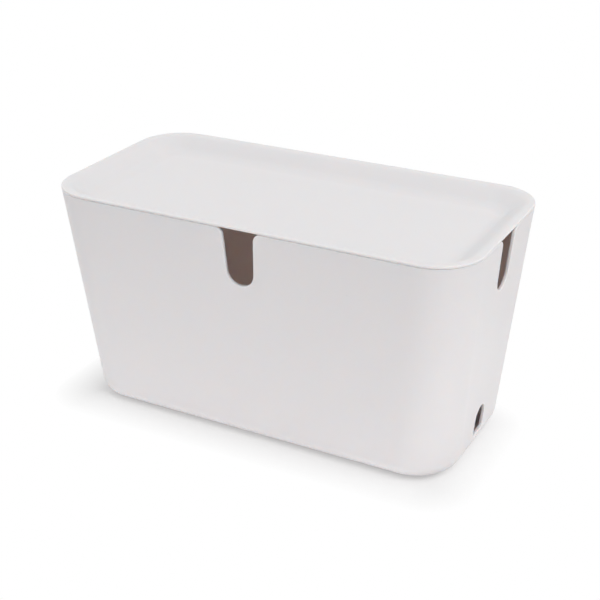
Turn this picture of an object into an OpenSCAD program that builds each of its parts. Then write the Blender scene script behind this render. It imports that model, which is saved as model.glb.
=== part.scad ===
// Cable management box: a drafted, round-cornered case with cable openings, a loose
// tray lid that drops on to the case's rim, and four non-slip feet under the corners.
// Origin: the middle of the footprint, on the surface that the feet stand on.
// +X runs along the length, the front faces -Y and +Z is up.

/* [Outside] */
// Length over the lid
lid_length = 455; // [430:1:500]
// Depth over the lid, front to back
lid_depth = 225; // [210:1:260]
// Height from the surface to the top of the lid
total_height = 240; // [200:1:280]
// Length of the case where its drafted end walls would reach its underside
base_length = 414; // [370:1:425]
// Depth of the case where its drafted long walls would reach its underside
base_depth = 186; // [160:1:205]
// Radius of the four upright corners, seen from above
corner_r = 48; // [44:1:60]
// Radius of the edge between the walls and the underside
base_edge_r = 14; // [8:0.5:20]

/* [Case] */
// Thickness of the four walls
wall = 3.4; // [2:0.1:4]
// Thickness of the case's floor
floor_t = 2.8; // [2:0.1:5]

/* [Cable slots in the rim] */
// Width across the round lower end of a slot
slot_width = 29.5; // [20:0.5:36]
// Depth of a slot, from the case's rim to its lowest point
slot_depth = 58.5; // [45:0.5:80]
// Angle by which each side of a slot opens towards the rim
slot_flare = 3; // [0:0.5:6]
// Radius of the rounded corners where a slot meets the rim
slot_lead_r = 8.5; // [3:0.5:12]

/* [Cable arches near the floor] */
// Width of an arch in an end wall
arch_width = 25.5; // [18:0.5:34]
// Height of an arch, from its sill to its crown
arch_height = 31; // [25:0.5:45]
// Height of the sill above the case's underside
arch_sill = 16; // [12:0.5:30]
// Radius of the two lower corners of an arch
arch_corner_r = 2; // [1:0.5:5]

/* [Lid] */
// Height of the lid's rim, which stands on the case's rim
lid_rim = 3; // [2.6:0.1:5]
// Thickness of the lid's sheet
lid_t = 2.5; // [1.8:0.1:2.6]
// Radius of the rim's outer top edge
lid_edge_r = 1.2; // [0.4:0.1:1.6]
// Width of the level crest round the tray, from the outside
crest_width = 4; // [2.5:0.5:8]
// Depth of the tray, from the crest to its floor
tray_depth = 15; // [11:0.5:20]
// Steepest angle of the tray's sloping sides
tray_angle = 34; // [28:1:38]
// Radius where the crest rolls over into the slope
tray_top_r = 14; // [6:0.5:16]
// Radius where the slope runs out into the tray's floor
tray_foot_r = 28; // [15:1:30]
// Depth of the lip under the lid that keeps it from sliding on the case
lip_height = 3; // [1.5:0.5:5]
// Thickness of that lip
lip_t = 2; // [1.5:0.1:3]
// Gap between that lip and the inside of the case's rim
lip_gap = 0.8; // [0.6:0.1:1.5]
// Space that the lip leaves free at each side of a slot's mouth
lip_relief = 2; // [1:0.5:6]

/* [Feet] */
// Diameter of a foot
foot_d = 16; // [10:0.5:24]
// Height by which the feet lift the case
foot_proud = 1.5; // [1:0.1:3]
// Depth of the pocket in the case's underside that holds a foot
foot_pocket = 0.8; // [0.4:0.1:1.2]
// Gap round a foot in its pocket
foot_gap = 0.15; // [0.05:0.05:0.4]
// Distance of a foot's centre from the end of the base
foot_inset_x = 42; // [34:1:70]
// Distance of a foot's centre from the front or back of the base
foot_inset_y = 38; // [34:1:60]

/* [Hidden] */

corner_steps = 14;   // steps round each upright corner
edge_steps = 7;      // steps round the base edge and each curve of the tray
rim_steps = 3;       // steps round the rim's outer top edge
slot_steps = 30;     // steps round a slot's lower end
lead_steps = 9;      // steps round each corner of a slot's mouth
round_fn = 72;       // facets of a true circle
least_r = 0.5;       // smallest corner radius of a ring
past = 6;            // how far a cut runs past what it cuts
weld = 0.5;          // how far the lip reaches into the lid
shell_white = [0.93, 0.92, 0.91];
foot_grey = [0.45, 0.45, 0.46];

underside_z = foot_proud;
rim_z = total_height - lid_rim;
draft_height = total_height - underside_z;
lip_z = rim_z - lip_height;
slot_r = slot_width / 2;
slot_end_z = rim_z - slot_depth + slot_r;
slot_side_x = slot_r * cos(slot_flare);
slot_side_z = slot_end_z - slot_r * sin(slot_flare);
slot_lead_z = rim_z - slot_lead_r;
slot_mouth_x = slot_side_x + slot_lead_r / cos(slot_flare)
    + (slot_lead_z - slot_side_z) * tan(slot_flare);
foot_x = base_length / 2 - foot_inset_x;
foot_y = base_depth / 2 - foot_inset_y;

// Share of the way from the base outline to the lid outline at height z
function drafted(z) = (z - underside_z) / draft_height;
function length_at(z) = base_length + (lid_length - base_length) * drafted(z);
function depth_at(z) = base_depth + (lid_depth - base_depth) * drafted(z);

// One level ring of points: a rounded rectangle, anticlockwise from the +X, +Y corner
function ring(length, depth, r, z) = [
    for (corner = [0:3])
        for (step = [0:corner_steps])
            let (
                sx = (corner == 0 || corner == 3) ? 1 : -1,
                sy = (corner < 2) ? 1 : -1,
                turn = 90 * corner + 90 * step / corner_steps
            )
            [sx * (length / 2 - r) + r * cos(turn), sy * (depth / 2 - r) + r * sin(turn), z]
];
ring_count = 4 * (corner_steps + 1);

// A ring of the case at height z, moved inwards by inset
function case_ring(z, inset) = ring(
    length_at(z) - 2 * inset, depth_at(z) - 2 * inset, max(corner_r - inset, least_r), z
);

// A ring of the lid, moved inwards from the lid's outside by inset
function lid_ring(inset, z) = ring(
    lid_length - 2 * inset, lid_depth - 2 * inset, max(corner_r - inset, least_r), z
);

// Rings round an edge of radius r, from the flat underside at height z0 up to the wall
function edge_rings(z0, r, inset) = [
    for (step = [0:edge_steps])
        let (turn = 90 - 90 * step / edge_steps)
        case_ring(z0 + r * (1 - sin(turn)), inset + r * (1 - cos(turn)))
];

function mean(list, i = 0, sum = [0, 0, 0]) =
    i == len(list) ? sum / len(list) : mean(list, i + 1, sum + list[i]);

// A closed solid through a stack of rings from the lowest to the highest
module loft(rings) {
    last = (len(rings) - 1) * ring_count;
    low_pole = len(rings) * ring_count;
    points = [
        for (one = rings) each one,
        mean(rings[0]),
        mean(rings[len(rings) - 1])
    ];
    sides = [
        for (row = [0:len(rings) - 2])
            for (i = [0:ring_count - 1])
                let (
                    a = row * ring_count + i,
                    b = row * ring_count + (i + 1) % ring_count
                )
                each [[a, a + ring_count, b], [b, a + ring_count, b + ring_count]]
    ];
    caps = [
        for (i = [0:ring_count - 1])
            let (next = (i + 1) % ring_count)
            each [[low_pole, i, next], [low_pole + 1, last + next, last + i]]
    ];
    polyhedron(points = points, faces = concat(sides, caps), convexity = 6);
}

// Tray profile as [inset, height] pairs, from the crest's inner edge to the tray's floor:
// a convex arc, a straight slope and a concave arc
slope_sin = sin(tray_angle);
slope_cos = cos(tray_angle);
arcs_drop = (tray_top_r + tray_foot_r) * (1 - slope_cos);
straight_drop = tray_depth - arcs_drop;
tray_run = (tray_top_r + tray_foot_r) * slope_sin + straight_drop * slope_cos / slope_sin;
tray_floor_z = total_height - tray_depth;
tray_floor_inset = crest_width + tray_run;

function roll_over(under) = [
    for (step = [0:edge_steps])
        let (turn = tray_angle * step / edge_steps, r = tray_top_r - under)
        [crest_width + r * sin(turn), total_height - tray_top_r + r * cos(turn)]
];
function run_out(under) = [
    for (step = [0:edge_steps])
        let (turn = tray_angle * (1 - step / edge_steps), r = tray_foot_r + under)
        [tray_floor_inset - r * sin(turn), tray_floor_z + tray_foot_r - r * cos(turn)]
];

// Points of an arc about [x, z], from one angle to another
function arc(x, z, r, from, to, steps) = [
    for (step = [0:steps])
        let (turn = from + (to - from) * step / steps)
        [x + r * cos(turn), z + r * sin(turn)]
];

// A slot's outline seen square to the wall: width along X, height along Y
module slot_outline() {
    polygon(concat(
        arc(slot_mouth_x, slot_lead_z, slot_lead_r, 90, 180 - slot_flare, lead_steps),
        arc(0, slot_end_z, slot_r, -slot_flare, -180 + slot_flare, slot_steps),
        arc(-slot_mouth_x, slot_lead_z, slot_lead_r, slot_flare, 90, lead_steps),
        [[-slot_mouth_x, rim_z + past], [slot_mouth_x, rim_z + past]]
    ));
}

// An arch's outline seen square to the wall, standing on its sill at Y = 0
module arch_outline() {
    crown_r = arch_width / 2;
    corner_x = crown_r - arch_corner_r;
    translate([0, arch_height - crown_r]) circle(r = crown_r, $fn = round_fn);
    translate([-crown_r, arch_corner_r]) square([arch_width, arch_height - crown_r - arch_corner_r]);
    translate([-corner_x, 0]) square([2 * corner_x, 2 * arch_corner_r]);
    for (side = [-1, 1])
        translate([side * corner_x, arch_corner_r]) circle(r = arch_corner_r, $fn = round_fn);
}

// Carries an outline out through the wall that faces the given angle; base and top are the
// distances between that wall and the one behind it, at the underside and at the lid
module through_wall(facing, base, top) {
    start = base / 2 - base_edge_r - wall;
    rotate([0, 0, facing])
        translate([0, -start, 0])
            rotate([90, 0, 0])
                linear_extrude(height = top / 2 + past - start) children();
}
module through_long_wall(facing) through_wall(facing, base_depth, lid_depth) children();
module through_end_wall(facing) through_wall(facing, base_length, lid_length) children();

module foot_pockets() {
    for (sx = [-1, 1])
        for (sy = [-1, 1])
            translate([sx * foot_x, sy * foot_y, underside_z - past])
                cylinder(d = foot_d + 2 * foot_gap, h = past + foot_pocket, $fn = round_fn);
}

module body() {
    color(shell_white)
    difference() {
        loft(concat(
            edge_rings(underside_z, base_edge_r, 0),
            [case_ring(rim_z, 0)]
        ));
        loft(concat(
            edge_rings(underside_z + floor_t, base_edge_r - wall, wall),
            [case_ring(rim_z + past, wall)]
        ));
        for (facing = [0, 180])
            through_long_wall(facing) slot_outline();
        for (facing = [90, 270]) {
            through_end_wall(facing) slot_outline();
            through_end_wall(facing) translate([0, underside_z + arch_sill]) arch_outline();
        }
        foot_pockets();
    }
}

// An upright slab with the outline that the case has at the lip's lower edge, moved inwards
module lip_slab(inset, low, high) {
    flat = [for (p = case_ring(lip_z, inset)) [p[0], p[1], 0]];
    loft([[for (p = flat) p + [0, 0, low]], [for (p = flat) p + [0, 0, high]]]);
}

module lid_lip() {
    inset = wall + lip_gap;
    gap = 2 * (slot_mouth_x + lip_relief);
    difference() {
        lip_slab(inset, lip_z, rim_z + weld);
        lip_slab(inset + lip_t, lip_z - past, rim_z + past);
        translate([-gap / 2, -lid_depth, lip_z - past]) cube([gap, 2 * lid_depth, lip_height + past]);
        translate([-lid_length, -gap / 2, lip_z - past]) cube([2 * lid_length, gap, lip_height + past]);
    }
}

module lid() {
    top = concat(
        [for (step = [0:rim_steps])
            let (turn = 90 * step / rim_steps)
            [lid_edge_r * (1 - cos(turn)), total_height - lid_edge_r * (1 - sin(turn))]],
        roll_over(0),
        run_out(0)
    );
    // Below the crest the underside is level, where the lid stands on the case's rim
    under = [for (p = concat(roll_over(lid_t), run_out(lid_t))) [p[0], min(p[1], rim_z)]];
    last = len(under) - 1;
    color(shell_white)
    union() {
        loft(concat(
            [for (i = [0:last]) lid_ring(under[last - i][0], under[last - i][1])],
            [lid_ring(0, rim_z)],
            [for (p = top) lid_ring(p[0], p[1])]
        ));
        lid_lip();
    }
}

module foot(sx, sy) {
    color(foot_grey)
    translate([sx * foot_x, sy * foot_y, 0])
        cylinder(d = foot_d, h = foot_proud + foot_pocket, $fn = round_fn);
}

module foot_front_left() foot(-1, -1);
module foot_front_right() foot(1, -1);
module foot_back_left() foot(-1, 1);
module foot_back_right() foot(1, 1);

body();
lid();
foot_front_left();
foot_front_right();
foot_back_left();
foot_back_right();
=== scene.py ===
import bpy
import numpy as np
from mathutils import Euler, Matrix, Vector


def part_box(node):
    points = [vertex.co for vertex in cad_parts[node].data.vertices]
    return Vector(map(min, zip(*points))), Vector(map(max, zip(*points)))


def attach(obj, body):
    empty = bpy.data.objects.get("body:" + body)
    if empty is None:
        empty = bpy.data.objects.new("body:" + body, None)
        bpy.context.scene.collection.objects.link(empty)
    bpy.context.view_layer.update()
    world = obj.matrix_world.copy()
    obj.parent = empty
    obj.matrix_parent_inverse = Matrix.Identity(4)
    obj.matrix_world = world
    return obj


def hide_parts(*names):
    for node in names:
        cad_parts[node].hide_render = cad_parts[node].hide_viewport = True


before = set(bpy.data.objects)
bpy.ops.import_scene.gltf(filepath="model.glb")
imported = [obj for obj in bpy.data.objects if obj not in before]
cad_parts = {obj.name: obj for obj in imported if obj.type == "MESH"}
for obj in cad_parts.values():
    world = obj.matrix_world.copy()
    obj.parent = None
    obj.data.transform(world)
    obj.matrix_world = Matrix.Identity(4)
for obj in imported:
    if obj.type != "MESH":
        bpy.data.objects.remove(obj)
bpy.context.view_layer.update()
mm = 0.001
weldDigits = 4          # points that agree to this many decimals of a millimetre are one
print("frame loaded:", ", ".join(sorted(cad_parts)))


def nodeBox(node):
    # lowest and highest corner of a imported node, in millimetres
    return np.round(np.array(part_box(node)) / mm, 3)


caseLow, caseHigh = nodeBox("body")
lidLow, lidHigh = nodeBox("lid")

outside = {
    "length": lidHigh[0] - lidLow[0],   # over the lid
    "depth": lidHigh[1] - lidLow[1],
    "top": lidHigh[2],
    "underside": caseLow[2],            # height of the case's underside above the surface
    "baseLength": 414.0,                # where the drafted walls would reach the underside
    "baseDepth": 186.0,
    "cornerRadius": 48.0,
    "cornerSteps": 30,
}

# Surfaces are grids of points in millimetres, one array of (rows, columns, 3) for each.
# Level rings run anticlockwise seen from above, so a grid whose rows climb looks outwards.


def gridFaces(rows, columns, closed):
    # quads between the points of a grid stored row by row; closed joins the last column to the first
    across = columns if closed else columns - 1
    r, c = np.meshgrid(np.arange(rows - 1), np.arange(across), indexing="ij")
    nextC = (c + 1) % columns
    return np.stack([r * columns + c, r * columns + nextC,
                     (r + 1) * columns + nextC, (r + 1) * columns + c], -1).reshape(-1, 4)


def cleanFaces(quads):
    # whole quads, and as triangles the quads of which two neighbouring corners were welded
    same = quads == np.roll(quads, -1, 1)
    whole = quads[~same.any(1)]
    pinched = quads[same.sum(1) == 1]
    first = same[same.sum(1) == 1].argmax(1)
    corners = (first[:, None] + np.array([0, 2, 3])) % 4
    return whole.tolist() + np.take_along_axis(pinched, corners, 1).tolist()


class Shell:
    # collects grids of points and makes one closed mesh of them
    def __init__(self):
        self.points, self.quads, self.tris, self.edges, self.count = [], [], [], [], 0

    def grid(self, rows, closed=True, flip=False, edge=0.0):
        # edge says how much a row of points belongs to a rounded edge, from 0 to 1
        quads = gridFaces(rows.shape[0], rows.shape[1], closed) + self.count
        self.quads.append(quads[:, ::-1] if flip else quads)
        self.points.append(rows.reshape(-1, 3))
        self.edges.append(np.broadcast_to(np.reshape(edge, (-1, 1)), rows.shape[:2]).reshape(-1))
        self.count += rows.shape[0] * rows.shape[1]

    def fan(self, ring, flip=False):
        # closes a level ring with triangles to its middle, facing up unless flipped
        n = len(ring)
        i = np.arange(n)
        tris = np.stack([i, (i + 1) % n, np.full(n, n)], 1) + self.count
        self.tris.append(tris[:, ::-1] if flip else tris)
        self.points.append(np.vstack([ring, ring.mean(0)]))
        self.edges.append(np.zeros(n + 1))
        self.count += n + 1

    def disc(self, ring, shares, up):
        # level surface inside a ring: shrunken copies of the ring, and a fan in the middle
        self.grid(np.stack([ring * (s, s, 1) for s in shares]), flip=up)
        self.fan(ring * (shares[0], shares[0], 1), flip=not up)

    def piece(self, name):
        # welds points that lie together and makes the object, in metres
        points = np.vstack(self.points)
        _, first, welded = np.unique(np.round(points, weldDigits), axis=0,
                                     return_index=True, return_inverse=True)
        welded = welded.reshape(-1)
        faces = [f for quads in self.quads for f in cleanFaces(welded[quads])]
        faces += [f for tris in self.tris for f in welded[tris].tolist()]
        # an attribute holds the edge values, the higher one where rows meet
        edge = np.zeros(len(first))
        np.maximum.at(edge, welded, np.concatenate(self.edges))
        mesh = bpy.data.meshes.new(name)
        mesh.from_pydata((points[first] * mm).tolist(), [], faces)
        mesh.attributes.new("edge", "FLOAT", "POINT").data.foreach_set("value", edge.astype(np.float32))
        mesh.update()
        mesh.shade_smooth()
        made = bpy.data.objects.new(name, mesh)
        bpy.context.scene.collection.objects.link(made)
        return made


def blend(start, end, share):
    # the value or point that lies this share of the way from start to end
    return start + (end - start) * share


def arcPoints(centre, radius, fromAngle, toAngle, steps):
    # points on a circle about centre, from one angle to the other, in degrees
    turn = np.radians(np.linspace(fromAngle, toAngle, steps + 1))
    return np.stack([centre[0] + radius * np.cos(turn), centre[1] + radius * np.sin(turn)], 1)


def line(start, end, steps):
    # points along a straight line, evenly spaced
    return blend(np.array(start, float), np.array(end, float), np.linspace(0, 1, steps + 1)[:, None])


def chain(*runs):
    # joins runs of points of which each starts where the last one ended
    return np.vstack([runs[0]] + [run[1:] for run in runs[1:]])


def mirrored(run):
    # the same run of (across, up) points on the other side, in the opposite order
    return run[::-1] * np.array([-1, 1])


# walls 0 to 3 are the right end, the back, the left end and the front
wallNormals = np.array([[1, 0], [0, 1], [-1, 0], [0, -1]], float)
wallAlong = np.roll(wallNormals, -1, 0)         # the way a ring runs along each wall
ends = (0, 2)                                   # walls that have an arch


def halfSizes(z):
    # half length and half depth grow in a straight line from the underside to the top of the lid
    share = (z - outside["underside"]) / (outside["top"] - outside["underside"])
    return (blend(outside["baseLength"], outside["length"], share) / 2,
            blend(outside["baseDepth"], outside["depth"], share) / 2)


def wallPoints(k, across, z, depth):
    # points of wall k: its reach at that height, less the depth under its outside, and a step along it
    reach = halfSizes(z)[k % 2] - depth
    flat = wallNormals[k] * reach[..., None] + wallAlong[k] * across[..., None]
    return np.concatenate([flat, z[..., None]], -1)


def spread(z, depth, across):
    # heights and depths by row, and places across by row or for all rows, as three whole grids
    shape = (len(z), np.shape(across)[-1])
    return (np.broadcast_to(across, shape), np.broadcast_to(z[:, None], shape),
            np.broadcast_to(depth[:, None], shape))


def cornerRun(k, z, depth):
    # corner after wall k: a quarter circle about a centre that moves out with the walls
    turn, z, depth = spread(z, depth, np.radians(np.linspace(0, 90, outside["cornerSteps"] + 1)))
    halves = halfSizes(z)
    r = outside["cornerRadius"]
    centre = (wallNormals[k] * (halves[k % 2] - r)[..., None]
              + wallAlong[k] * (halves[(k + 1) % 2] - r)[..., None])
    out = np.cos(turn)[..., None] * wallNormals[k] + np.sin(turn)[..., None] * wallAlong[k]
    return np.concatenate([centre + out * (r - depth)[..., None], z[..., None]], -1)


case = {
    "wall": 3.4,
    "floor": 2.8,
    "baseEdge": 14.0,       # radius between the walls and the underside
    "baseSteps": 12,
    "rim": caseHigh[2],
    "edgeRound": 0.7,       # softened edges of the rim, the slots and the arches, outside
    "innerRound": 0.3,      # and inside
    "edgeSteps": 5,
    "cutSteps": 4,          # across the wall between the two softened edges
    "panelHalf": 34.0,      # half the width of the stretch of wall that holds an opening
    "panelSteps": 24,
    "midSteps": 8,          # up the walls between the arches and the slots
    "nearRow": 0.6,         # from a rounded edge to the first row beyond it
    # rows of points as shares of the way: from an opening's edge to the border of its panel,
    # from the panel to the corner, and from the middle of the floor to its edge
    "panelShares": np.array([0, 0.05, 0.2, 0.45, 0.72, 1.0]),
    "sideShares": np.array([0, 0.15, 0.35, 0.6, 0.85, 0.99, 1.0]),
    "floorShares": (0.2, 0.45, 0.7, 0.9, 0.985, 1.0),
}

slot = {
    "radius": 14.75,        # round lower end
    "depth": 58.5,
    "flare": 3.0,           # degrees that each side opens towards the rim
    "lead": 8.5,            # rounded corners at the rim
    "leadSteps": 9,
    "foot": 168.0,          # height at which the slot's stretch of wall starts
    "sideSteps": 16,
}

arch = {
    "halfWidth": 12.75,
    "sill": 17.5,
    "crown": 48.5,
    "corner": 2.0,
    "head": 62.0,           # height at which the arch's stretch of wall ends
    "sideSteps": 12,
    "cornerSteps": 3,
    "shoulderSteps": 5,
}


def sideRun(k, z, depth, sign):
    # the stretch of wall k between its middle panel and the corner on the sign side
    flat = halfSizes(z)[(k + 1) % 2] - outside["cornerRadius"]
    shares = case["sideShares"] if sign > 0 else case["sideShares"][::-1]
    return wallPoints(k, *spread(z, depth, sign * blend(case["panelHalf"], flat[:, None], shares)))


def panelRun(k, z, depth):
    # the middle stretch of wall k, where nothing is cut
    p = case["panelHalf"]
    return wallPoints(k, *spread(z, depth, np.linspace(-p, p, case["panelSteps"] + 1)))


def rings(z, depth):
    # whole level rings: each wall's side, panel and side, then the corner after it
    runs = []
    for k in range(4):
        runs += [sideRun(k, z, depth, -1), panelRun(k, z, depth)[:, 1:],
                 sideRun(k, z, depth, 1)[:, 1:], cornerRun(k, z, depth)[:, 1:-1]]
    return np.concatenate(runs, 1)


def slotMouth():
    # half the slot's width at the rim: its round end and rounded corner, and the slant between them
    flare, radii = np.radians(slot["flare"]), slot["radius"] + slot["lead"]
    return radii / np.cos(flare) + (slot["depth"] - radii) * np.tan(flare)


def slotCurve(offset):
    # slot outline moved into the wall by offset: mouth corner, flared side, round end, side, corner
    flare = slot["flare"]
    leadCentre = (-slotMouth(), case["rim"] - slot["lead"])
    lead = arcPoints(leadCentre, slot["lead"] - offset, 90, flare, slot["leadSteps"])
    endCentre = (0, case["rim"] - slot["depth"] + slot["radius"])
    end = arcPoints(endCentre, slot["radius"] + offset, 180 + flare, 360 - flare, case["panelSteps"])
    left = chain(lead, line(lead[-1], end[0], slot["sideSteps"] - slot["leadSteps"]))
    return chain(left, end, mirrored(left))


def archCurve(offset):
    # arch outline moved into the wall by offset: sill, right side, crown and left side, anticlockwise
    r, c, steps = arch["halfWidth"], arch["corner"], arch["cornerSteps"]
    spring, cornerZ = arch["crown"] - r, arch["sill"] + c
    low = arcPoints((c - r, cornerZ), c + offset, 225, 270, steps)
    lowRight = arcPoints((r - c, cornerZ), c + offset, 270, 315, steps)
    sill = chain(low, line(low[-1], lowRight[0], case["panelSteps"] - 2 * steps), lowRight)
    foot = arcPoints((r - c, cornerZ), c + offset, 315, 360, steps)
    shoulder = arcPoints((0, spring), r + offset, 0, 45, arch["shoulderSteps"])
    straight = line(foot[-1], shoulder[0], arch["sideSteps"] - steps - arch["shoulderSteps"])
    right = chain(foot, straight, shoulder)
    crown = arcPoints((0, spring), r + offset, 45, 135, case["panelSteps"])
    return chain(sill, right, crown, mirrored(right))[:-1]


def edgeRadius(depth):
    # softened edge of the outside skin, or of the inside skin at a depth under it
    return case["innerRound"] if depth > 0 else case["edgeRound"]


def slotLevels(depth):
    # heights of the rows beside a slot, with a close pair under the rounded rim
    high = case["rim"] - edgeRadius(depth)
    return np.append(np.linspace(slot["foot"], high - case["nearRow"], slot["sideSteps"]), high)


# heights of the rows beside an arch, with a close pair over the rounded base, and of those above it
baseTop = outside["underside"] + case["baseEdge"]
archLevels = np.append(baseTop, np.linspace(baseTop + case["nearRow"], arch["head"], arch["sideSteps"]))
midLevels = np.linspace(arch["head"], slot["foot"], case["midSteps"] + 1)


def slotPanel(k, depth):
    # wall round a slot: straight runs from the slot's edge to the panel's border
    p, levels, shares = case["panelHalf"], slotLevels(depth), case["panelShares"]
    left = np.stack([np.full(len(levels), -p), levels[::-1]], 1)
    border = chain(left, line((-p, slot["foot"]), (p, slot["foot"]), case["panelSteps"]), mirrored(left))
    flat = blend(slotCurve(edgeRadius(depth))[:, None], border[:, None], shares[None, :, None])
    return wallPoints(k, flat[..., 0], flat[..., 1], np.full(flat.shape[:2], depth))


def archPanel(k, depth):
    # wall round an arch: the same between the arch's edge and a border that closes round it
    p, shares = case["panelHalf"], case["panelShares"]
    low = line((-p, baseTop), (p, baseTop), case["panelSteps"])
    right = np.stack([np.full(len(archLevels), p), archLevels], 1)
    high = line((p, arch["head"]), (-p, arch["head"]), case["panelSteps"])
    border = chain(low, right, high, mirrored(right))[:-1]
    flat = blend(archCurve(edgeRadius(depth))[None], border[None], shares[:, None, None])
    return wallPoints(k, flat[..., 0], flat[..., 1], np.full(flat.shape[:2], depth))


def cutProfile():
    # section of a cut edge as (offset into the wall, depth): round, flat across the wall, round;
    # and for each of its points, how much it belongs to a rounded edge
    turn = np.radians(np.linspace(0, 90, case["edgeSteps"] + 1))
    quarter = np.stack([1 - np.sin(turn), 1 - np.cos(turn)], 1)
    outer = quarter * case["edgeRound"]
    inner = quarter[::-1] * np.array([1, -1]) * case["innerRound"] + np.array([0, case["wall"]])
    rounded = np.sin(2 * turn)
    flat = line(outer[-1], inner[0], case["cutSteps"])
    return chain(outer, flat, inner), np.concatenate([rounded, np.zeros(len(flat) - 2), rounded])


def rimLoop(offset, depth):
    # the whole upper edge as one loop: round the rim, and down and up again at each slot
    top = case["rim"] - offset
    left = -blend(slotMouth(), case["panelHalf"], case["panelShares"][::-1])
    beside = np.stack([left, np.full(len(left), top)], 1)
    across = chain(beside, slotCurve(offset), mirrored(beside))
    z, d = np.array([top]), np.array([depth])
    runs = []
    for k in range(4):
        panel = wallPoints(k, across[:, 0], across[:, 1], np.full(len(across), depth))
        runs += [sideRun(k, z, d, -1)[0], panel[1:],
                 sideRun(k, z, d, 1)[0, 1:], cornerRun(k, z, d)[0, 1:-1]]
    return np.vstack(runs)


def makeCase():
    # outside and inside skins, joined along the rim with its slots and round the two arches
    shell = Shell()
    turn = np.radians(np.linspace(90, 0, case["baseSteps"] + 1))
    for inside in (False, True):
        depth = case["wall"] if inside else 0.0
        radius = case["baseEdge"] - depth
        bottom = outside["underside"] + (case["floor"] if inside else 0.0)
        # quarter round from the level floor up into the walls, and on to the arches' lowest row
        base = rings(np.append(bottom + radius * (1 - np.sin(turn)), baseTop),
                     np.append(depth + radius * (1 - np.cos(turn)), depth))
        shell.grid(base, flip=inside)
        shell.disc(base[0], case["floorShares"], up=inside)
        shell.grid(rings(midLevels, np.full(len(midLevels), depth)), flip=inside)
        for k in range(4):
            for levels, cut in ((archLevels, k in ends), (slotLevels(depth), True)):
                d = np.full(len(levels), depth)
                shell.grid(sideRun(k, levels, d, -1), closed=False, flip=inside)
                shell.grid(sideRun(k, levels, d, 1), closed=False, flip=inside)
                shell.grid(cornerRun(k, levels, d), closed=False, flip=inside)
                if not cut:
                    shell.grid(panelRun(k, levels, d), closed=False, flip=inside)
            shell.grid(slotPanel(k, depth), closed=False, flip=inside)
            if k in ends:
                shell.grid(archPanel(k, depth), flip=not inside)
    profile, rounded = cutProfile()
    shell.grid(np.stack([rimLoop(offset, depth) for offset, depth in profile]), edge=rounded)
    for k in ends:
        loops = []
        for offset, depth in profile:
            curve = archCurve(offset)
            loops.append(wallPoints(k, curve[:, 0], curve[:, 1], np.full(len(curve), depth)))
        shell.grid(np.stack(loops), edge=rounded)
    return shell.piece("caseShell")


lid = {
    "rimHeight": 3.0,       # of the outer edge
    "sheet": 2.5,
    "topEdge": 1.2,         # radius of the rim's outer top edge
    "topSteps": 7,
    "lowEdge": 0.45,        # radius of the rim's outer lower edge
    "lowSteps": 4,
    "edgeGlossAndHighlight": 0.1,      # how glossy these edges are rubbed and how much painted highlight they carry, from 0 to 1
    "seamHeight": 0.7,      # shadow gap over the case's rim
    "seamDepth": 2.5,
    "seamDraft": 0.1,
    "crest": 4.0,           # from the outside to where the level crest starts to roll over
    "crestSteps": 3,
    "nearRow": 0.3,         # from the rounded top edge to the first row on the crest
    "slope": 34.0,          # steepest angle of the tray's sides, in degrees
    "rollRadius": 14.0,     # crest rolling over into the slope
    "footRadius": 28.0,     # slope running out into the tray's floor
    "traySteps": 16,        # in each of these two arcs
    "underSteps": 12,       # and under the tray
    "lipInset": 4.75,       # from the lid's outside to the outside of the locating lip
    "lipThick": 1.9,
    "lipDrop": 3.0,
    "lipDraft": 0.05,
    "lipEdge": 0.5,         # rounded lower edges of the lip
    "lipCorner": (0.2, 0.15),   # middle point of that round, from the lip's side and its lower face
    "lipRelief": 2.0,       # left clear at each side of a slot's mouth
    "lipEnd": 0.5,          # length in which the lip comes down beside that gap
    "lipClear": 0.2,        # from the lip's inside to the first row under the tray
    # rows of points as shares of the way: from the lip's end to the corner, and from the middle
    # of the floor to its edge
    "sideShares": np.array([0, 0.1, 0.35, 0.65, 0.9, 0.99, 1]),
    "floorShares": (0.2, 0.45, 0.7, 0.9, 0.99, 1.0),
}


def lipGap():
    # half the width of the gap in the lip in front of a slot
    return slotMouth() + lid["lipRelief"]


def lidColumns(flat):
    # places along one straight side, with close pairs where the lip ends and beside the corners
    beyond = blend(lipGap() + lid["lipEnd"], flat, lid["sideShares"])
    half = np.concatenate([[0, lipGap() / 2, lipGap()], beyond])
    return np.concatenate([-half[:0:-1], half])


def lidRing(inset, z):
    # rounded rectangle moved inwards by inset; z is one height, or one for each point
    reach = (outside["length"] / 2, outside["depth"] / 2)
    r = outside["cornerRadius"]
    turn = np.radians(np.linspace(0, 90, outside["cornerSteps"] + 1))[1:-1, None]
    runs = []
    for k in range(4):
        flat = reach[(k + 1) % 2] - r
        wall = wallNormals[k] * (reach[k % 2] - inset) + wallAlong[k] * lidColumns(flat)[:, None]
        centre = wallNormals[k] * (reach[k % 2] - r) + wallAlong[k] * flat
        out = np.cos(turn) * wallNormals[k] + np.sin(turn) * wallAlong[k]
        runs += [wall, centre + out * (r - inset)]
    flatRing = np.vstack(runs)
    return np.column_stack([flatRing, np.broadcast_to(z, len(flatRing))])


def lipStands():
    # 1 where the lip stands, 0 in the gaps in front of the slots
    stands = []
    for size in (outside["depth"], outside["length"]) * 2:
        columns = np.abs(lidColumns(size / 2 - outside["cornerRadius"]))
        stands += [columns > lipGap() + lid["lipEnd"] / 2, np.ones(outside["cornerSteps"] - 1)]
    return np.concatenate(stands)


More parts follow.
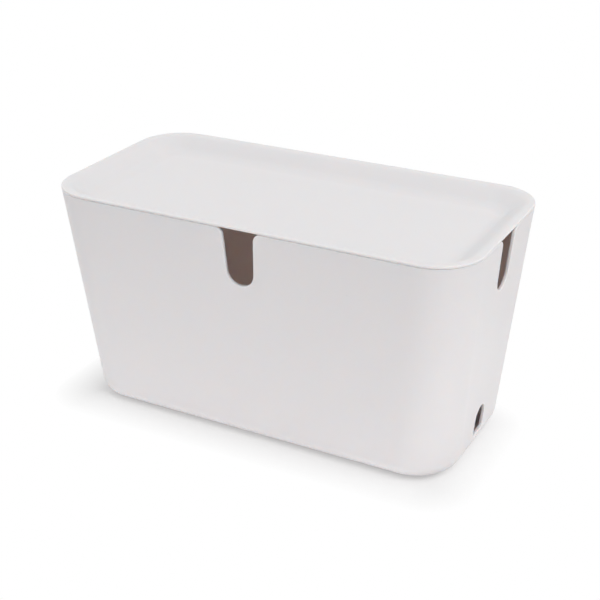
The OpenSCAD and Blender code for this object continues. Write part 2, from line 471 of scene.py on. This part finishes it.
def trayProfile(under, steps):
    # crest arc, straight slope and foot arc as (inset, height), at a depth under the sheet's top
    top, rise = outside["top"], np.radians(lid["slope"])
    roll, run = lid["rollRadius"], lid["footRadius"]
    trayDepth = top - lidLow[2] - lid["sheet"]
    straight = trayDepth - (roll + run) * (1 - np.cos(rise))
    floorInset = lid["crest"] + (roll + run) * np.sin(rise) + straight / np.tan(rise)
    turn = np.linspace(0, rise, steps + 1)
    crest = np.stack([lid["crest"] + (roll - under) * np.sin(turn),
                      top - roll + (roll - under) * np.cos(turn)], 1)
    foot = np.stack([floorInset - (run + under) * np.sin(turn[::-1]),
                     top - trayDepth + run - (run + under) * np.cos(turn[::-1])], 1)
    return np.vstack([crest, blend(crest[-1], foot[0], 0.5), foot])


def lipProfile():
    # section of the lip as (inset, share of its drop): its outer side down to a small round,
    # and the same mirrored for its inner side
    drop, edge, corner = lid["lipDrop"], lid["lipEdge"], lid["lipCorner"]
    side = np.array([[0, 0], [lid["lipDraft"], 1 - edge / drop],
                     [corner[0], 1 - corner[1] / drop], [edge, 1]])
    inner = side[::-1] * (-1, 1) + (lid["lipThick"], 0)
    return np.vstack([side, inner]) + (lid["lipInset"], 0)


def makeLid():
    # one skin from the tray's floor over the crest, down the outer edge and back to the tray's underside
    shell = Shell()
    top, seat = outside["top"], outside["top"] - lid["rimHeight"]
    e, q = lid["topEdge"], lid["lowEdge"]
    turn = np.radians(np.linspace(90, 0, lid["topSteps"] + 1))
    lowTurn = np.radians(np.linspace(0, 90, lid["lowSteps"] + 1))
    topEdge = np.stack([e - e * np.cos(turn), top - e + e * np.sin(turn)], 1)
    gap = seat + lid["seamHeight"]
    lowEdge = np.stack([q - q * np.cos(lowTurn), gap + q - q * np.sin(lowTurn)], 1)
    seam = np.array([[lid["seamDepth"], gap], [lid["seamDepth"] + lid["seamDraft"], seat]])
    upper = trayProfile(0, lid["traySteps"])[::-1]
    crest = line((lid["crest"], top), (e + lid["nearRow"], top), lid["crestSteps"])[1:]
    # under the tray, the rows inside the lip, and none above the level on which the lid rests
    lower = trayProfile(lid["sheet"], lid["underSteps"])
    lower[:, 1] = np.minimum(lower[:, 1], seat)
    lower = lower[lower[:, 0] > lid["lipInset"] + lid["lipThick"] + lid["lipClear"]]
    stands = lipStands()
    over = np.vstack([upper, crest, topEdge, lowEdge, seam])
    rows = [lidRing(inset, z) for inset, z in over]
    rows += [lidRing(inset, seat - lid["lipDrop"] * share * stands) for inset, share in lipProfile()]
    rows += [lidRing(inset, z) for inset, z in lower]
    rounded = np.zeros(len(rows))
    start = len(upper) + len(crest)
    # the rim's rounded edges get rubbed gloss and a painted highlight in this share
    rimGlossAndHighlight = lid["edgeGlossAndHighlight"] * np.sin(2 * np.concatenate([turn, lowTurn]))
    rounded[start:start + len(rimGlossAndHighlight)] = rimGlossAndHighlight
    shell.grid(np.stack(rows), flip=True, edge=rounded)
    shell.disc(rows[0], lid["floorShares"], up=True)
    shell.disc(rows[-1], lid["floorShares"], up=False)
    return shell.piece("lidTray")


pads = {
    "edge": 0.5,            # radius of the lower edge
    "edgeSteps": 4,
    "nearRow": 0.02,        # from the row below the top to the top
    "steps": 48,
}


def makePad(node):
    # a disc with a rounded lower edge, from the surface up to the case's underside
    low, high = nodeBox(node)
    middle, r = (low + high) / 2 * (1, 1, 0), (high[0] - low[0]) / 2
    e, top = pads["edge"], outside["underside"]
    turn = np.radians(np.linspace(0, 90, pads["edgeSteps"] + 1))
    edge = np.stack([r - e + e * np.sin(turn), e - e * np.cos(turn)], 1)
    side = np.vstack([edge, [[r, top - pads["nearRow"]], [r, top]]])
    angle = np.linspace(0, 2 * np.pi, pads["steps"], endpoint=False)
    circle = np.stack([np.cos(angle), np.sin(angle), np.zeros(len(angle))], 1)
    rows = circle * side[:, :1, None] + middle + side[:, 1, None, None] * (0, 0, 1)
    shell = Shell()
    shell.grid(rows)
    shell.fan(rows[0], flip=True)
    shell.fan(rows[-1])
    return shell.piece(node.replace("foot", "pad"))


def dress(piece, node, body):
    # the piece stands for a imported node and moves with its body
    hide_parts(node)
    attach(piece, body)
    return piece


caseShell = dress(makeCase(), "body", "case")
lidTray = dress(makeLid(), "lid", "lid")
padPieces = [dress(makePad(node), node, "case")
             for node in sorted(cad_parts) if node.startswith("foot_")]
print("pieces made:", len(caseShell.data.polygons), "faces in the case,",
      len(lidTray.data.polygons), "in the lid")


def newGroup(name, inputs, outputs):
    # shader node group with named number or vector inputs and number outputs
    tree = bpy.data.node_groups.new(name, "ShaderNodeTree")
    for label in inputs:
        kind = "NodeSocketVector" if label == "Place" else "NodeSocketFloat"
        tree.interface.new_socket(label, in_out="INPUT", socket_type=kind)
    for label in outputs:
        tree.interface.new_socket(label, in_out="OUTPUT", socket_type="NodeSocketFloat")
    return tree, tree.nodes.new("NodeGroupInput").outputs, tree.nodes.new("NodeGroupOutput").inputs


def addNode(tree, kind, settings=None, **sockets):
    # a node with its settings, and its sockets given as values or as links; i0, i1 and so on name
    # a socket by its number, and _ stands for a space in a name
    node = tree.nodes.new("ShaderNode" + kind)
    for label, value in (settings or {}).items():
        setattr(node, label, value)
    for label, value in sockets.items():
        numbered = label[1:].isdigit()
        socket = node.inputs[int(label[1:]) if numbered else label.replace("_", " ")]
        if isinstance(value, bpy.types.NodeSocket):
            tree.links.new(value, socket)
        else:
            socket.default_value = value
    return node.outputs


def maths(tree, operation, a, b=0.0, c=0.0):
    # one sum on values or links, such as MULTIPLY_ADD for a times b plus c
    return addNode(tree, "Math", {"operation": operation}, i0=a, i1=b, i2=c)["Value"]


def vectorMaths(tree, operation, a, b):
    return addNode(tree, "VectorMath", {"operation": operation}, i0=a, i1=b)["Vector"]


def mixColours(tree, share, first, second):
    # from the first colour to the second; a Mix node takes colours at sockets 6 and 7 and gives one at 2
    first, second = [colour if isinstance(colour, bpy.types.NodeSocket) else (*colour, 1.0)
                     for colour in (first, second)]
    return addNode(tree, "Mix", {"data_type": "RGBA"}, i0=share, i6=first, i7=second)[2]


plastic = {
    "grainsPerMetre": 2600.0,
    "grainDepth": 0.006,            # millimetres
    "swellsPerMetre": 9.0,
    "swellDepth": 0.25,             # millimetres
    "roughness": 0.5,
    "patchesPerMetre": 38.0,        # patches that shine a little more
    "patchRange": (0.35, 0.65),     # values of the noise between which a patch fades in
    "shineGain": 0.05,              # roughness taken off in those patches
    "polishGain": 0.12,             # roughness taken off on edges that hands have rubbed
    "paintedHighlightShare": 0.4,               # how much of the painted highlight colour shows on the rounded edges
    # lighter colour of the painted highlight on the rounded edges
    "paintedHighlightColour": (0.93, 0.92, 0.92),
    "wearPerMetre": 70.0,           # noise that breaks up the rubbed gloss and the painted highlight
    "breakupRange": (0.3, 0.7),
    "leastBreakup": 0.55,              # share of the rubbed gloss and painted highlight that stays everywhere
    "specksPerMetre": 36.0,
    "speckSize": 0.0004,            # metres
    "speckShade": 0.8,              # of the colour round it
    "reflect": 0.25,                # specular level; 0.5 is common plastic
    "lightReach": (1.0, 0.81, 0.71),    # how far red, green and blue spread inside the plastic,
    "lightScale": {"casePlastic": 0.0063, "lidPlastic": 0.002},     # as shares of this many metres
    # the lid is given a darker shade than the case although both are the same plastic: painted shade on
    # the lid, which faces the lamps
    "shades": {"casePlastic": (0.815, 0.772, 0.776), "lidPlastic": (0.76, 0.747, 0.755)},
}


def makeGrain():
    # moulded skin: fine eroded grain on long, shallow swells, and patches that shine a little more
    tree, given, put = newGroup("mouldedGrain", ["Place", "Grains per metre", "Grain depth",
                                                 "Swells per metre", "Swell depth", "Patches per metre"],
                                ["Height", "Shine"])
    grain = addNode(tree, "TexNoise", Vector=given["Place"], Scale=given["Grains per metre"],
                    Detail=2.0, Roughness=0.6)["Fac"]
    swell = addNode(tree, "TexNoise", Vector=given["Place"], Scale=given["Swells per metre"],
                    Detail=1.0, Roughness=0.4)["Fac"]
    raised = maths(tree, "MULTIPLY", swell, given["Swell depth"])
    tree.links.new(maths(tree, "MULTIPLY_ADD", grain, given["Grain depth"], raised), put["Height"])
    noise = addNode(tree, "TexNoise", Vector=given["Place"], Scale=given["Patches per metre"],
                    Detail=3.0, Roughness=0.5)["Fac"]
    low, high = plastic["patchRange"]
    patches = addNode(tree, "MapRange", Value=noise, From_Min=low, From_Max=high)["Result"]
    tree.links.new(patches, put["Shine"])
    return tree


def makePolishAndHighlight():
    # rounded edges that hands have rubbed glossy, which also carry a painted highlight: the edge value,
    # broken up by noise
    tree, given, put = newGroup("polishAndPaintedHighlight", ["Place", "Edge", "Wear per metre"], ["Mask"])
    noise = addNode(tree, "TexNoise", Vector=given["Place"], Scale=given["Wear per metre"],
                    Detail=2.0)["Fac"]
    low, high = plastic["breakupRange"]
    uneven = addNode(tree, "MapRange", Value=noise, From_Min=low, From_Max=high,
                     To_Min=plastic["leastBreakup"], To_Max=1.0)["Result"]
    tree.links.new(maths(tree, "MULTIPLY", given["Edge"], uneven), put["Mask"])
    return tree


def makeSpecks():
    # tiny specks in the plastic: places within a given distance of a point scattered in space
    tree, given, put = newGroup("mouldSpecks", ["Place", "Specks per metre", "Size"], ["Mask"])
    away = addNode(tree, "TexVoronoi", Vector=given["Place"], Scale=given["Specks per metre"])["Distance"]
    reach = maths(tree, "MULTIPLY", given["Size"], given["Specks per metre"])
    tree.links.new(maths(tree, "LESS_THAN", away, reach), put["Mask"])
    return tree


grainGroup, polishAndHighlightGroup, speckGroup = makeGrain(), makePolishAndHighlight(), makeSpecks()


rubber = {
    "colour": (0.085, 0.085, 0.09),
    "crumbColour": (0.13, 0.13, 0.135),
    "crumbsPerMetre": 1400.0,
    "crumbDepth": 0.05,             # millimetres
    "roughness": 0.75,
}


def newMaterial(name, roughness):
    # a material with its tree, its shader and its Object coordinates
    made = bpy.data.materials.new(name)
    made.use_nodes = True
    tree = made.node_tree
    shader = tree.nodes["Principled BSDF"]
    shader.inputs["Roughness"].default_value = roughness
    return made, tree, shader, addNode(tree, "TexCoord")["Object"]


def placeGroup(tree, group, **sockets):
    # a node group placed in a material, with that material's own values
    return addNode(tree, "Group", {"node_tree": group}, **sockets)


def makePlastic(name):
    # white moulded plastic, thin enough to let some light through
    made, tree, shader, place = newMaterial(name, plastic["roughness"])
    grain = placeGroup(tree, grainGroup, Place=place, Grains_per_metre=plastic["grainsPerMetre"],
                       Grain_depth=plastic["grainDepth"], Swells_per_metre=plastic["swellsPerMetre"],
                       Swell_depth=plastic["swellDepth"], Patches_per_metre=plastic["patchesPerMetre"])
    # the edge attribute sets both the rubbed gloss and a painted highlight on the rounded edges
    edge = addNode(tree, "Attribute", {"attribute_name": "edge"})["Fac"]
    polishAndHighlight = placeGroup(tree, polishAndHighlightGroup, Place=place, Edge=edge,
                        Wear_per_metre=plastic["wearPerMetre"])["Mask"]
    specks = placeGroup(tree, speckGroup, Place=place, Specks_per_metre=plastic["specksPerMetre"],
                        Size=plastic["speckSize"])["Mask"]
    shade = plastic["shades"][name]
    # painted highlight: the rounded edges get a lighter colour that stands in for light catching them
    paintedHighlightMask = maths(tree, "MULTIPLY", polishAndHighlight, plastic["paintedHighlightShare"])
    withPaintedHighlight = mixColours(tree, paintedHighlightMask, shade, plastic["paintedHighlightColour"])
    dimmed = [value * plastic["speckShade"] for value in shade]
    tree.links.new(mixColours(tree, specks, withPaintedHighlight, dimmed), shader.inputs["Base Color"])
    shine = maths(tree, "MULTIPLY_ADD", grain["Shine"], -plastic["shineGain"], plastic["roughness"])
    gloss = maths(tree, "MULTIPLY_ADD", polishAndHighlight, -plastic["polishGain"], shine)
    tree.links.new(gloss, shader.inputs["Roughness"])
    bump = addNode(tree, "Bump", Strength=1.0, Distance=mm, Height=grain["Height"])
    tree.links.new(bump["Normal"], shader.inputs["Normal"])
    shader.inputs["Specular IOR Level"].default_value = plastic["reflect"]
    shader.inputs["Subsurface Weight"].default_value = 1.0
    shader.inputs["Subsurface Radius"].default_value = plastic["lightReach"]
    shader.inputs["Subsurface Scale"].default_value = plastic["lightScale"][name]
    return made


def makeRubber():
    # grey pad with a crumbly skin
    made, tree, shader, place = newMaterial("padRubber", rubber["roughness"])
    crumbs = addNode(tree, "TexNoise", Vector=place, Scale=rubber["crumbsPerMetre"], Detail=3.0)["Fac"]
    colour = mixColours(tree, crumbs, rubber["colour"], rubber["crumbColour"])
    tree.links.new(colour, shader.inputs["Base Color"])
    bump = addNode(tree, "Bump", Strength=1.0, Distance=rubber["crumbDepth"] * mm, Height=crumbs)
    tree.links.new(bump["Normal"], shader.inputs["Normal"])
    return made


caseShell.data.materials.append(makePlastic("casePlastic"))
lidTray.data.materials.append(makePlastic("lidPlastic"))
padRubber = makeRubber()
for pad in padPieces:
    pad.data.materials.append(padRubber)
print("materials made:", ", ".join(m.name for m in bpy.data.materials if m.users))

stage = {
    "size": 16.0,
    "shade": 0.8,                   # for light that goes on to the object
    # beside the case the camera sees the floor darker than white even where no shadow falls: the real
    # shadow at half strength inside a painted shadow that fades to white with distance from an oblong
    "nearShade": 0.5,               # what the camera sees of the lamps' light beside the case
    "nearGlow": 0.34,               # and of a glow of the floor that lights nothing
    "low": (-0.196, -0.082),        # corners of the oblong round which the floor's real and painted shadow fades out
    "high": (0.188, 0.04),
    "shadowReach": 0.052,           # metres from that oblong to where the floor is white
    "bounces": 8,                   # of light that goes round inside the case
}

worldLight = {
    "strength": 0.509,              # on the object
    "seen": 1.0,                    # to the camera
}

# places, aims and sizes in metres, powers in watts; the two table lamps are the light that a
# bright table throws up
boxMiddle = (0, 0, 0.12)
lamps = {
    "keyLamp": {"place": (2.4, -0.6, 3.9), "aim": boxMiddle, "size": (3.0, 3.0), "power": 105.0},
    "leftLamp": {"place": (-3.4, 1.4, 2.2), "aim": boxMiddle, "size": (2.4, 2.4), "power": 26.0},
    "frontLamp": {"place": (-0.2, -4.2, 2.0), "aim": boxMiddle, "size": (3.0, 2.0), "power": 15.5},
    "tableFront": {"place": (0.1, -0.32, 0.001), "aim": (0.1, -0.32, 1), "size": (1.1, 0.45),
                   "power": 0.577},
    "tableRight": {"place": (0.42, 0, 0.001), "aim": (0.42, 0, 1), "size": (0.4, 0.5), "power": 0.11},
}


def seenDirectly(tree):
    # 1 for rays from the camera, and for what metal and glass show, else 0
    path = addNode(tree, "LightPath")
    both = maths(tree, "ADD", path["Is Camera Ray"], path["Is Glossy Ray"])
    return maths(tree, "MINIMUM", maths(tree, "ADD", both, path["Is Transmission Ray"]), 1.0)


def distanceFrom(tree, low, high):
    # how far a point of the floor lies outside an oblong, as the length of its way out along X and Y
    place = addNode(tree, "TexCoord")["Object"]
    below = vectorMaths(tree, "SUBTRACT", (*low, 0.0), place)
    above = vectorMaths(tree, "SUBTRACT", place, (*high, 0.0))
    beyond = vectorMaths(tree, "MAXIMUM", below, above)
    outward = vectorMaths(tree, "MAXIMUM", beyond, (0.0, 0.0, 0.0))
    return addNode(tree, "VectorMath", {"operation": "LENGTH"}, i0=outward)["Value"]


def makeFloor():
    # pale floor that shows the case's real shadow at half strength inside a painted shadow round the case,
    # and is white to the camera further off
    bpy.ops.mesh.primitive_plane_add(size=stage["size"], location=(0, 0, 0))
    floor = bpy.context.object
    floor.name = "floor"
    made = bpy.data.materials.new("floorPale")
    made.use_nodes = True
    tree = made.node_tree
    tree.nodes.remove(tree.nodes["Principled BSDF"])
    seen = seenDirectly(tree)
    colour = mixColours(tree, seen, [stage["shade"]] * 3, [stage["nearShade"]] * 3)
    matt = addNode(tree, "BsdfDiffuse", Color=colour)["BSDF"]
    glow = addNode(tree, "Emission", Strength=maths(tree, "MULTIPLY", seen, stage["nearGlow"]))["Emission"]
    near = addNode(tree, "AddShader", i0=matt, i1=glow)["Shader"]
    white = addNode(tree, "Emission", Strength=1.0)["Emission"]
    away = distanceFrom(tree, stage["low"], stage["high"])
    far = addNode(tree, "MapRange", Value=away, From_Min=0.0, From_Max=stage["shadowReach"])["Result"]
    both = addNode(tree, "MixShader", i0=maths(tree, "MULTIPLY", far, seen), i1=near, i2=white)["Shader"]
    tree.links.new(both, tree.nodes["Material Output"].inputs["Surface"])
    floor.data.materials.append(made)


def makeWorld():
    # even light from all round, which looks white to the camera
    world = bpy.data.worlds.new("studioWorld")
    world.use_nodes = True
    tree = world.node_tree
    extra = worldLight["seen"] - worldLight["strength"]
    strength = maths(tree, "MULTIPLY_ADD", seenDirectly(tree), extra, worldLight["strength"])
    tree.nodes["Background"].inputs["Color"].default_value = (1, 1, 1, 1)
    tree.links.new(strength, tree.nodes["Background"].inputs["Strength"])
    bpy.context.scene.world = world


def makeLamp(name, lamp):
    # an oblong lamp that faces its aim and doesn't show to the camera
    data = bpy.data.lights.new(name, "AREA")
    data.energy = lamp["power"]
    data.shape = "RECTANGLE"
    data.size, data.size_y = lamp["size"]
    made = bpy.data.objects.new(name, data)
    made.location = lamp["place"]
    made.rotation_euler = (Vector(lamp["aim"]) - made.location).to_track_quat("-Z", "Y").to_euler()
    made.visible_camera = False
    bpy.context.scene.collection.objects.link(made)


makeFloor()
makeWorld()
for name, lamp in lamps.items():
    makeLamp(name, lamp)
bpy.context.scene.cycles.diffuse_bounces = stage["bounces"]
bpy.context.scene.view_settings.view_transform = "Standard"
print("stage and lamps made:", ", ".join(lamps))

view = {
    "place": (0.5450, -1.0091, 0.6690),
    "turn": (64.3406, 0.2591, 27.9507),     # degrees: up from looking straight down, roll, round Z
    "lens": 73.10,                          # millimetres
    "sensor": 36.0,
}


def makeCamera():
    # camera at the photograph's viewing angle
    data = bpy.data.cameras.new("viewCamera")
    data.sensor_width = view["sensor"]
    data.lens = view["lens"]
    made = bpy.data.objects.new("viewCamera", data)
    turn = Euler(np.radians(view["turn"]))
    made.matrix_world = Matrix.LocRotScale(Vector(view["place"]), turn, None)
    bpy.context.scene.collection.objects.link(made)
    bpy.context.scene.camera = made


makeCamera()
print("camera set")
